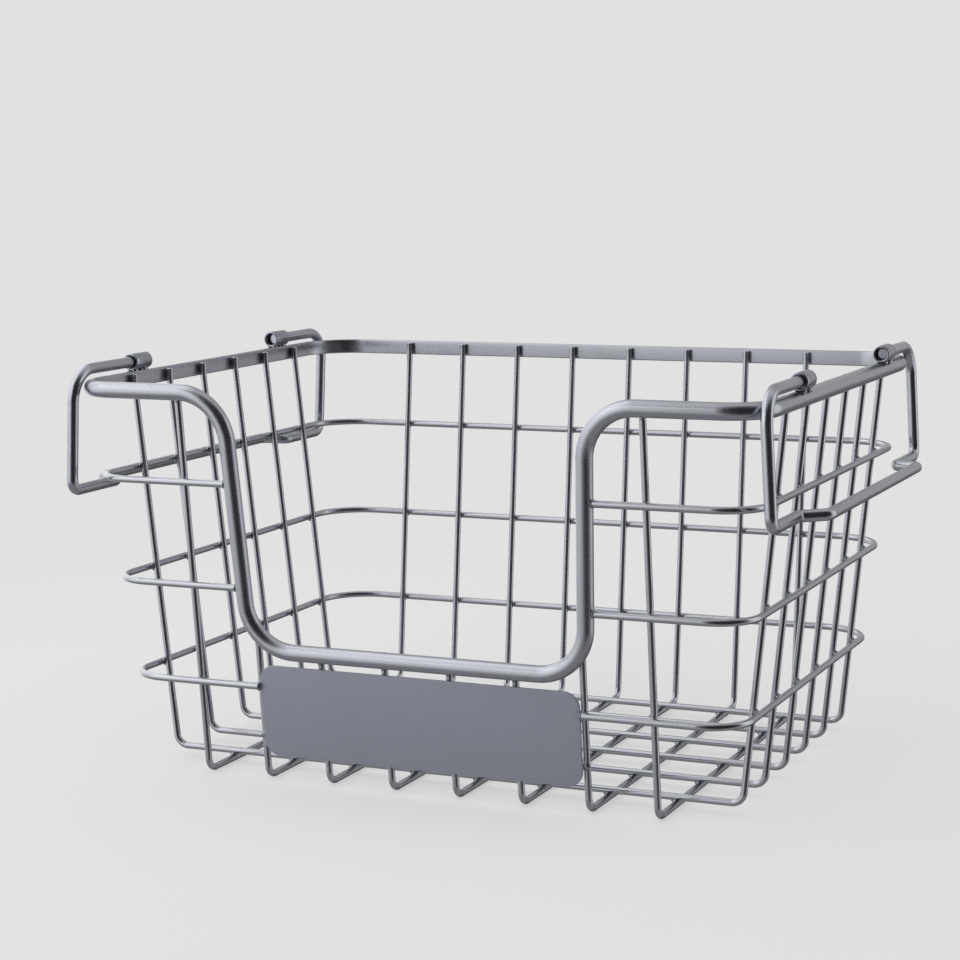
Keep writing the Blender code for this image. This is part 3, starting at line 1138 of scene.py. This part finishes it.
@dataclass
class LabelPlate:
    """The bare plate on the front of the wires, under the opening."""

    walls: Walls
    coat: bpy.types.Material
    width: float = 0.1480
    height: float = 0.0410
    thickness: float = 0.0012
    corner_radius: float = 0.0070
    bottom_height: float = 0.0120
    edge_radius: float = 0.00035
    corner_steps: int = 12
    edge_steps: int = 4
    sharp: float = 35.0
    weld: Lump = Lump(0.0010, 0.0022, 0.0017)
    weld_heights: tuple[float, float] = (0.22, 0.78)

    @property
    def end(self) -> float:
        """Distance from the middle to the wire ends beside the plate."""
        return self.width / 2 + self.walls.weld_gap

    def outline(self, inset: float) -> list[tuple[float, float]]:
        """Outline the plate, a little inside its edge.

        Args:
            inset: The distance from the edge.

        Returns:
            The corners of the outline.
        """
        centre_x = self.width / 2 - self.corner_radius
        centre_z = self.height / 2 - self.corner_radius
        radius = self.corner_radius - inset
        corners = []
        for quarter, (side_x, side_z) in enumerate(((1, 1), (-1, 1), (-1, -1), (1, -1))):
            for index in range(self.corner_steps + 1):
                angle = math.pi / 2 * (quarter + index / self.corner_steps)
                x = side_x * centre_x + radius * math.cos(angle)
                corners.append((x, side_z * centre_z + radius * math.sin(angle)))
        return corners

    def mesh(self) -> bpy.types.Mesh:
        """Press the plate, with its edges eased on both faces.

        Returns:
            The mesh, round its own middle.
        """
        steps = range(self.edge_steps + 1)
        outlines = []
        for sign, order in ((-1, steps), (1, reversed(steps))):
            for index in order:
                angle = math.pi / 2 * index / self.edge_steps
                inset = self.edge_radius * (1 - math.sin(angle))
                y = sign * (self.thickness / 2 - self.edge_radius * (1 - math.cos(angle)))
                outlines.append([Vector((x, y, z)) for x, z in self.outline(inset)])
        shape = bmesh.new()
        loops = skin(shape, outlines)
        shape.faces.new(loops[0])
        shape.faces.new(reversed(loops[-1]))
        return finished_mesh("label_plate_sheet", shape, self.sharp)

    def build(self) -> None:
        """Build the plate, lean it with the wall and dress it."""
        middle = self.bottom_height + self.height / 2 * math.cos(self.walls.lean)
        off_wires = (self.walls.face_offset + self.thickness / 2) / math.cos(self.walls.lean)
        place = Matrix.Translation((0, -self.walls.half_depth(middle) - off_wires, middle))
        mesh = self.mesh()
        mesh.transform(place @ Matrix.Rotation(self.walls.lean, 4, "X"))
        dress("label_plate", mesh, "basket", "label_plate", self.coat)

    def welds(self, grid: Grid) -> list[WeldSpot]:
        """List the welds of the plate to the wires behind it.

        Args:
            grid: The wires.

        Returns:
            Two spots a wire.
        """
        walls = self.walls
        out = Vector((0, -math.cos(walls.lean), -math.sin(walls.lean)))
        up = Vector((0, -math.sin(walls.lean), math.cos(walls.lean)))
        spots = []
        for x in grid.deep_places():
            if abs(x) > self.width / 2 + walls.wire_radius:
                continue
            for share in self.weld_heights:
                height = self.bottom_height + self.height * share
                deep = walls.half_depth(height) + walls.face_offset / 2 / math.cos(walls.lean)
                spots.append(WeldSpot(Vector((x, -deep, height)), out, up, self.weld))
        return spots


@dataclass
class Hinges:
    """The four sleeves welded on the side rims, and the axis that each pair shares.

    Each row of welds is given by its place along the sleeve and its share of the weld's size.
    """

    walls: Walls
    rim: Rim
    coat: bpy.types.Material
    diameter: float = 0.0076
    bore: float = 0.0057
    length: float = 0.0130
    from_rim_end: float = 0.0509
    edge_radius: float = 0.00035
    sides: int = 48
    sharp: float = 50.0
    weld: Lump = Lump(0.0009, 0.0016, 0.0009, 0.2)
    weld_rows: tuple[tuple[float, float], ...] = ((-0.0041, 1.0), (0.0039, 1.12))
    weld_rise: float = 0.0002
    weld_slope: float = 0.7
    outer_weld_off: float = 0.0017
    outer_weld_drop: float = 0.0003
    inner_weld_off: float = 0.0015

    @property
    def axis_x(self) -> float:
        """Distance from the middle to the hinge axis."""
        return self.rim.half_width + self.rim.bar_depth / 2

    @property
    def axis_z(self) -> float:
        """Find the height of the hinge axis.

        Returns:
            The height at which the sleeves rest on the round of the rim.
        """
        bar_radius = self.walls.rim_bar_height / 2
        over_round = self.rim.bar_depth / 2 - (self.rim.bar_depth - bar_radius)
        reach = bar_radius + self.walls.weld_gap + self.diameter / 2
        return self.walls.rim_middle + math.sqrt(reach**2 - over_round**2)

    @property
    def half_spacing(self) -> float:
        """Distance from the middle to a sleeve, from front to back."""
        return self.rim.half_depth - self.from_rim_end

    def sleeve(self, name: str, centre: Vector) -> bpy.types.Mesh:
        """Turn one sleeve, with its edges eased inside and out.

        Args:
            name: The name of the mesh.
            centre: Its middle.

        Returns:
            The mesh.
        """
        ease = self.edge_radius
        outer, inner, end = self.diameter / 2, self.bore / 2, self.length / 2
        half_ease = ease * (1 - math.sqrt(0.5))
        one_end = [
            (outer, end - ease),
            (outer - half_ease, end - half_ease),
            (outer - ease, end),
            (inner + ease, end),
            (inner + half_ease, end - half_ease),
            (inner, end - ease),
        ]
        profile = one_end + [(radius, -y) for radius, y in reversed(one_end)]
        angles = [2 * math.pi * side / self.sides for side in range(self.sides)]
        outlines = []
        for radius, y in profile:
            spokes = [Vector((radius * math.cos(angle), y, radius * math.sin(angle))) for angle in angles]
            outlines.append([centre + spoke for spoke in spokes])
        shape = bmesh.new()
        skin(shape, outlines, closed=True)
        return finished_mesh(name, shape, self.sharp)

    def build(self) -> None:
        """Build and dress the sleeves."""
        for side in Side:
            for end in End:
                name = f"hinge_sleeve_{side.name.lower()}_{'front' if end is End.FRONT else 'rear'}"
                centre = Vector((side.value * self.axis_x, end.value * self.half_spacing, self.axis_z))
                dress(name, self.sleeve(name, centre), "basket", "hinge_sleeve", self.coat)

    def welds(self) -> list[WeldSpot]:
        """List the lumps that hold each sleeve on the rim.

        Returns:
            Two rows a sleeve, each with a lump outside and one inside.
        """
        rows = [
            (1, self.outer_weld_off, self.outer_weld_drop),
            (-1, self.inner_weld_off, 0.0),
        ]
        spots = []
        for side in Side:
            for end in End:
                for shift, share in self.weld_rows:
                    y = end.value * self.half_spacing + shift
                    for way, off, drop in rows:
                        height = self.walls.rim_height + self.weld_rise - drop
                        place = Vector((side.value * (self.axis_x + way * off), y, height))
                        facing = Vector((side.value * way, 0, self.weld_slope))
                        spots.append(WeldSpot(place, facing, BACKWARDS, self.weld.scaled(share)))
        return spots


@dataclass
class Bail:
    """One swinging handle, bent from a thicker wire, that hangs in its two sleeves."""

    walls: Walls
    hinges: Hinges
    coat: bpy.types.Material
    diameter: float = 0.0050
    short_of_rim_end: float = 0.0009
    drop: float = 0.0525
    insertion: float = 0.0080
    slid_forward: float = 0.0020
    shoulder_radius: float = 0.0140
    heel_radius: float = 0.0050
    heel_length: float = 0.0360
    crank_offset: float = 0.0113
    crank_run: float = 0.0050
    crank_radius: float = 0.0042
    hang_angle: float = math.radians(3.0)
    sides: int = 32
    bend_step: float = math.radians(4.0)
    cut: float = 0.0004

    def route(self) -> Route:
        """Lay out the bail in the frame of its hinge: straight down, cranked towards +X.

        Returns:
            The centre line.
        """
        entry = self.hinges.half_spacing + self.hinges.length / 2 - self.insertion
        leg = self.hinges.rim.half_depth - self.short_of_rim_end
        heel = leg - self.heel_length
        bar = heel - self.crank_run
        front = [
            Vector((0, -entry, 0)),
            Vector((0, -leg, 0)),
            Vector((0, -leg, -self.drop)),
            Vector((0, -heel, -self.drop)),
            Vector((self.crank_offset, -bar, -self.drop)),
        ]
        rear = [Vector((corner.x, -corner.y, corner.z)) for corner in reversed(front)]
        radii = [0, self.shoulder_radius, self.heel_radius, self.crank_radius, self.crank_radius]
        return Route(front + rear, radii + radii[::-1], step=self.bend_step)

    def build(self, side: Side) -> None:
        """Build one bail, hang it and dress it.

        Args:
            side: The side wall that it hangs on.
        """
        mesh = Sweep(self.route()).wire("bail", self.diameter, self.sides, ACROSS, self.cut)
        axis_x, axis_z = side.value * self.hinges.axis_x, self.hinges.axis_z
        place = Matrix.Translation((axis_x, -self.slid_forward, axis_z))
        turn = Matrix.Rotation(0 if side is Side.RIGHT else math.pi, 4, "Z")
        mesh.transform(place @ turn @ Matrix.Rotation(-self.hang_angle, 4, "Y"))
        word = side.name.lower()
        dress(f"handle_{word}", mesh, f"{word}_handle", "handle", self.coat)


@dataclass
class Welds:
    """Every lump of weld metal on the basket, in one piece for each kind of joint."""

    coat: bpy.types.Material
    sharp: float = 180.0

    def build(self, name: str, slot: str, spots: list[WeldSpot], fineness: int = 2) -> None:
        """Build one kind of joint's lumps and dress them.

        Args:
            name: The name of the piece.
            slot: Not used; it is kept with the piece and read by nothing.
            spots: The lumps.
            fineness: The subdivisions of each lump.
        """
        shape = bmesh.new()
        for seed, spot in enumerate(spots):
            spot.add_to(shape, seed + 1, fineness)
        Piece(name, finished_mesh(name, shape, self.sharp), "basket", slot, (), self.coat).place()


@dataclass(frozen=True)
class DimPart:
    """A part of the studio that the metal sees dimmer than the rest.

    The reach gives the cosines of the angles from its middle where it starts and where it is complete.
    """

    middle: tuple[float, float, float]
    reach: tuple[float, float]
    level: float

    def seen_in(
        self,
        sheet: NodeSheet,
        direction: bpy.types.NodeSocket,
        pale: float,
    ) -> bpy.types.NodeSocket:
        """Find the level of the studio in every direction.

        Args:
            sheet: The studio's sheet.
            direction: The direction that is looked in.
            pale: The level of the rest.

        Returns:
            The level.
        """
        towards = sheet.add("ShaderNodeVectorMath", {0: direction}, operation="DOT_PRODUCT")
        towards.inputs[1].default_value = Vector(self.middle).normalized()
        return sheet.ranged(towards.outputs["Value"], self.reach, (pale, self.level), Curve.SMOOTH)


@dataclass(frozen=True)
class Softbox:
    """A soft light that is dimmer towards its lower edge.

    Its level is how bright its face is, where 1 is white. It rises to that level between two heights.
    """

    name: str
    place: tuple[float, float, float]
    aim: tuple[float, float, float]
    width: float
    height: float
    level: float
    rise: tuple[float, float]

    def hang(self) -> None:
        """Add the light to the scene, out of the camera's sight."""
        lamp = bpy.data.lights.new(self.name, "AREA")
        lamp.shape = "RECTANGLE"
        lamp.size = self.width
        lamp.size_y = self.height
        lamp.energy = self.level * math.pi * self.width * self.height
        lamp.use_nodes = True
        sheet = NodeSheet(lamp.node_tree)
        place = sheet.add("ShaderNodeNewGeometry").outputs["Position"]
        height = sheet.add("ShaderNodeSeparateXYZ", {0: place}).outputs["Z"]
        face = sheet.add("ShaderNodeEmission", {"Strength": sheet.ranged(height, self.rise)})
        sheet.add("ShaderNodeOutputLight", {"Surface": face.outputs["Emission"]})
        item = bpy.data.objects.new(self.name, lamp)
        item.location = self.place
        forward = Vector(self.aim) - Vector(self.place)
        item.rotation_euler = forward.to_track_quat("-Z", "Y").to_euler()
        item.visible_camera = False
        bpy.context.scene.collection.objects.link(item)


@dataclass
class Studio:
    """The pale floor, the soft light and the camera."""

    pale: float = 0.753
    ambient: float = 0.66
    floor_radius: float = 3.0
    floor_sides: int = 96
    floor_gap: float = 0.0002
    floor_albedo: float = 0.86
    floor_glow: float = 0.62
    fade: tuple[float, float] = (0.22, 0.60)
    fibres_per_metre: float = 900.0
    fibre_layers: float = 2.0
    fibre_tones: tuple[float, float] = (0.99, 1.01)
    dim_parts: tuple[DimPart, ...] = (
        DimPart(middle=(0.70, -0.70, 0.26), reach=(0.20, 0.82), level=0.008),
        DimPart(middle=(0.10, 0.97, 0.20), reach=(0.55, 0.90), level=0.48),
        DimPart(middle=(0.0, 0.0, -1.0), reach=(0.08, 0.72), level=0.32),
        DimPart(middle=(0.05, 0.80, -0.60), reach=(0.70, 0.95), level=0.12),
    )
    softboxes: tuple[Softbox, ...] = (
        Softbox(
            "left_softbox",
            place=(-0.6465, -0.7225, 0.35),
            aim=(0.1125, -0.0715, 0.35),
            width=1.30,
            height=1.30,
            level=0.95,
            rise=(-0.38, 0.66),
        ),
        Softbox(
            "side_softbox",
            place=(-0.98, 0.46, 0.30),
            aim=(0.0, 0.0, 0.30),
            width=1.20,
            height=1.30,
            level=0.66,
            rise=(-0.90, 0.60),
        ),
        Softbox(
            "right_softbox",
            place=(0.95, 0.45, 0.20),
            aim=(0.15, 0.0, 0.20),
            width=0.75,
            height=1.20,
            level=0.60,
            rise=(-1.00, 0.40),
        ),
        Softbox(
            "top_softbox",
            place=(-0.78, -0.10, 1.10),
            aim=(-0.78, -0.10, 0.0),
            width=0.95,
            height=1.20,
            level=0.80,
            rise=(0.0, 0.5),
        ),
    )
    lens: float = 87.507
    sensor: float = 36.0
    nearest: float = 0.01
    yaw: float = 0.41931
    pitch: float = 0.1404
    roll: float = -0.01239
    eye: tuple[float, float, float] = (0.41469823, -0.96512785, 0.27109181)

    def build(self) -> None:
        """Set up everything round the basket."""
        self._floor()
        self._world()
        for softbox in self.softboxes:
            softbox.hang()
        self._camera()
        bpy.context.scene.view_settings.view_transform = "Standard"

    def _floor(self) -> None:
        """Lay a round pale floor, which shows in no reflection."""
        shape = bmesh.new()
        bmesh.ops.create_circle(shape, cap_ends=True, segments=self.floor_sides, radius=self.floor_radius)
        mesh = bpy.data.meshes.new("floor")
        shape.to_mesh(mesh)
        shape.free()
        floor = bpy.data.objects.new("floor", mesh)
        floor.location = (0, 0, -self.floor_gap)
        bpy.context.scene.collection.objects.link(floor)
        mesh.materials.append(self._paper())
        floor.visible_glossy = False

    def _paper(self) -> bpy.types.Material:
        """Build the floor's finish.

        Returns:
            Pale paper that fades into the background away from the basket.
        """
        material = bpy.data.materials.new("pale_paper")
        material.use_nodes = True
        sheet = NodeSheet(material.node_tree)
        place = sheet.add("ShaderNodeTexCoord").outputs["Object"]
        far = sheet.add("ShaderNodeVectorMath", {0: place}, operation="LENGTH").outputs["Value"]
        fibres = sheet.add(
            "ShaderNodeTexNoise",
            {"Vector": place},
            Scale=self.fibres_per_metre,
            Detail=self.fibre_layers,
        )
        tones = (self.floor_albedo * self.fibre_tones[0], self.floor_albedo * self.fibre_tones[1])
        tone = sheet.ranged(fibres.outputs["Fac"], levels=tones)
        paper = sheet.add("ShaderNodeBsdfDiffuse", {"Color": tone})
        glow = sheet.add("ShaderNodeEmission", Color=WHITE, Strength=self.pale)
        faded = sheet.ranged(far, self.fade, curve=Curve.SMOOTH)
        share = sheet.ranged(faded, levels=(self.floor_glow, 1.0))
        lit = sheet.add(
            "ShaderNodeMixShader",
            {0: share, 1: paper.outputs["BSDF"], 2: glow.outputs["Emission"]},
        )
        sheet.add("ShaderNodeOutputMaterial", {"Surface": lit.outputs["Shader"]})
        return material

    def _world(self) -> None:
        """Light the basket evenly all round, and let its metal see a pale studio with dim parts."""
        world = bpy.data.worlds.new("studio")
        bpy.context.scene.world = world
        world.use_nodes = True
        sheet = NodeSheet(world.node_tree)
        path = sheet.add("ShaderNodeLightPath").outputs
        direction = sheet.add("ShaderNodeTexCoord").outputs["Generated"]
        dim, *others = [part.seen_in(sheet, direction, self.pale) for part in self.dim_parts]
        for other in others:
            dim = sheet.combined("MINIMUM", dim, other)
        plain = sheet.combined("MAXIMUM", path["Is Camera Ray"], path["Is Transmission Ray"])
        seen = sheet.combined("MAXIMUM", plain, path["Is Glossy Ray"])
        backdrop = sheet.mixed(Mixed.NUMBER, plain, dim, self.pale)
        level = sheet.mixed(Mixed.NUMBER, seen, self.ambient, backdrop)
        light = sheet.add("ShaderNodeBackground", {"Strength": level}, Color=WHITE)
        sheet.add("ShaderNodeOutputWorld", {"Surface": light.outputs["Background"]})

    def _camera(self) -> None:
        """Put the camera where the photograph was taken from."""
        cos_pitch = math.cos(self.pitch)
        cos_yaw, sin_yaw = math.cos(self.yaw), math.sin(self.yaw)
        forward = Vector((-sin_yaw * cos_pitch, cos_yaw * cos_pitch, -math.sin(self.pitch)))
        right = Vector((cos_yaw, sin_yaw, 0))
        down = forward.cross(right)
        across = right * math.cos(self.roll) - down * math.sin(self.roll)
        below = right * math.sin(self.roll) + down * math.cos(self.roll)
        data = bpy.data.cameras.new("camera")
        data.lens = self.lens
        data.sensor_width = self.sensor
        data.clip_start = self.nearest
        camera = bpy.data.objects.new("camera", data)
        turn = Matrix((across, -below, -forward)).transposed().to_4x4()
        camera.matrix_world = Matrix.Translation(self.eye) @ turn
        bpy.context.scene.collection.objects.link(camera)
        bpy.context.scene.camera = camera


def main() -> None:
    """Build the basket piece by piece, then the studio."""
    logging.basicConfig(level=logging.INFO, format="%(message)s")
    walls = Walls()
    rim = Rim(walls, RIM_ENAMEL.material())
    wire_coat = WIRE_ENAMEL.material()
    bail_coat = BAIL_ENAMEL.material()
    plate = LabelPlate(walls, PLATE_ENAMEL.material())
    grid = Grid(walls, wire_coat)
    rings = Rings(walls, rim, wire_coat, plate.end)
    hinges = Hinges(walls, rim, SLEEVE_ENAMEL.material())
    bail = Bail(walls, hinges, bail_coat)
    # The welds' darker enamel is painted shade of the joints.
    welds = Welds(WELD_ENAMEL_PAINTED_SHADE.material())

    rim.build()
    rings.build()
    grid.build(rim)
    plate.build()
    hinges.build()
    for side in Side:
        bail.build(side)
    welds.build("floor_welds", "grid_wire", grid.welds())
    welds.build("ring_welds", "grid_wire", rings.welds(grid))
    welds.build("rim_welds", "rim", rim.welds(grid))
    welds.build("plate_welds", "label_plate", plate.welds(grid))
    welds.build("sleeve_welds", "hinge_sleeve", hinges.welds(), fineness=3)
    Studio().build()


if __name__ == "__main__":
    main()
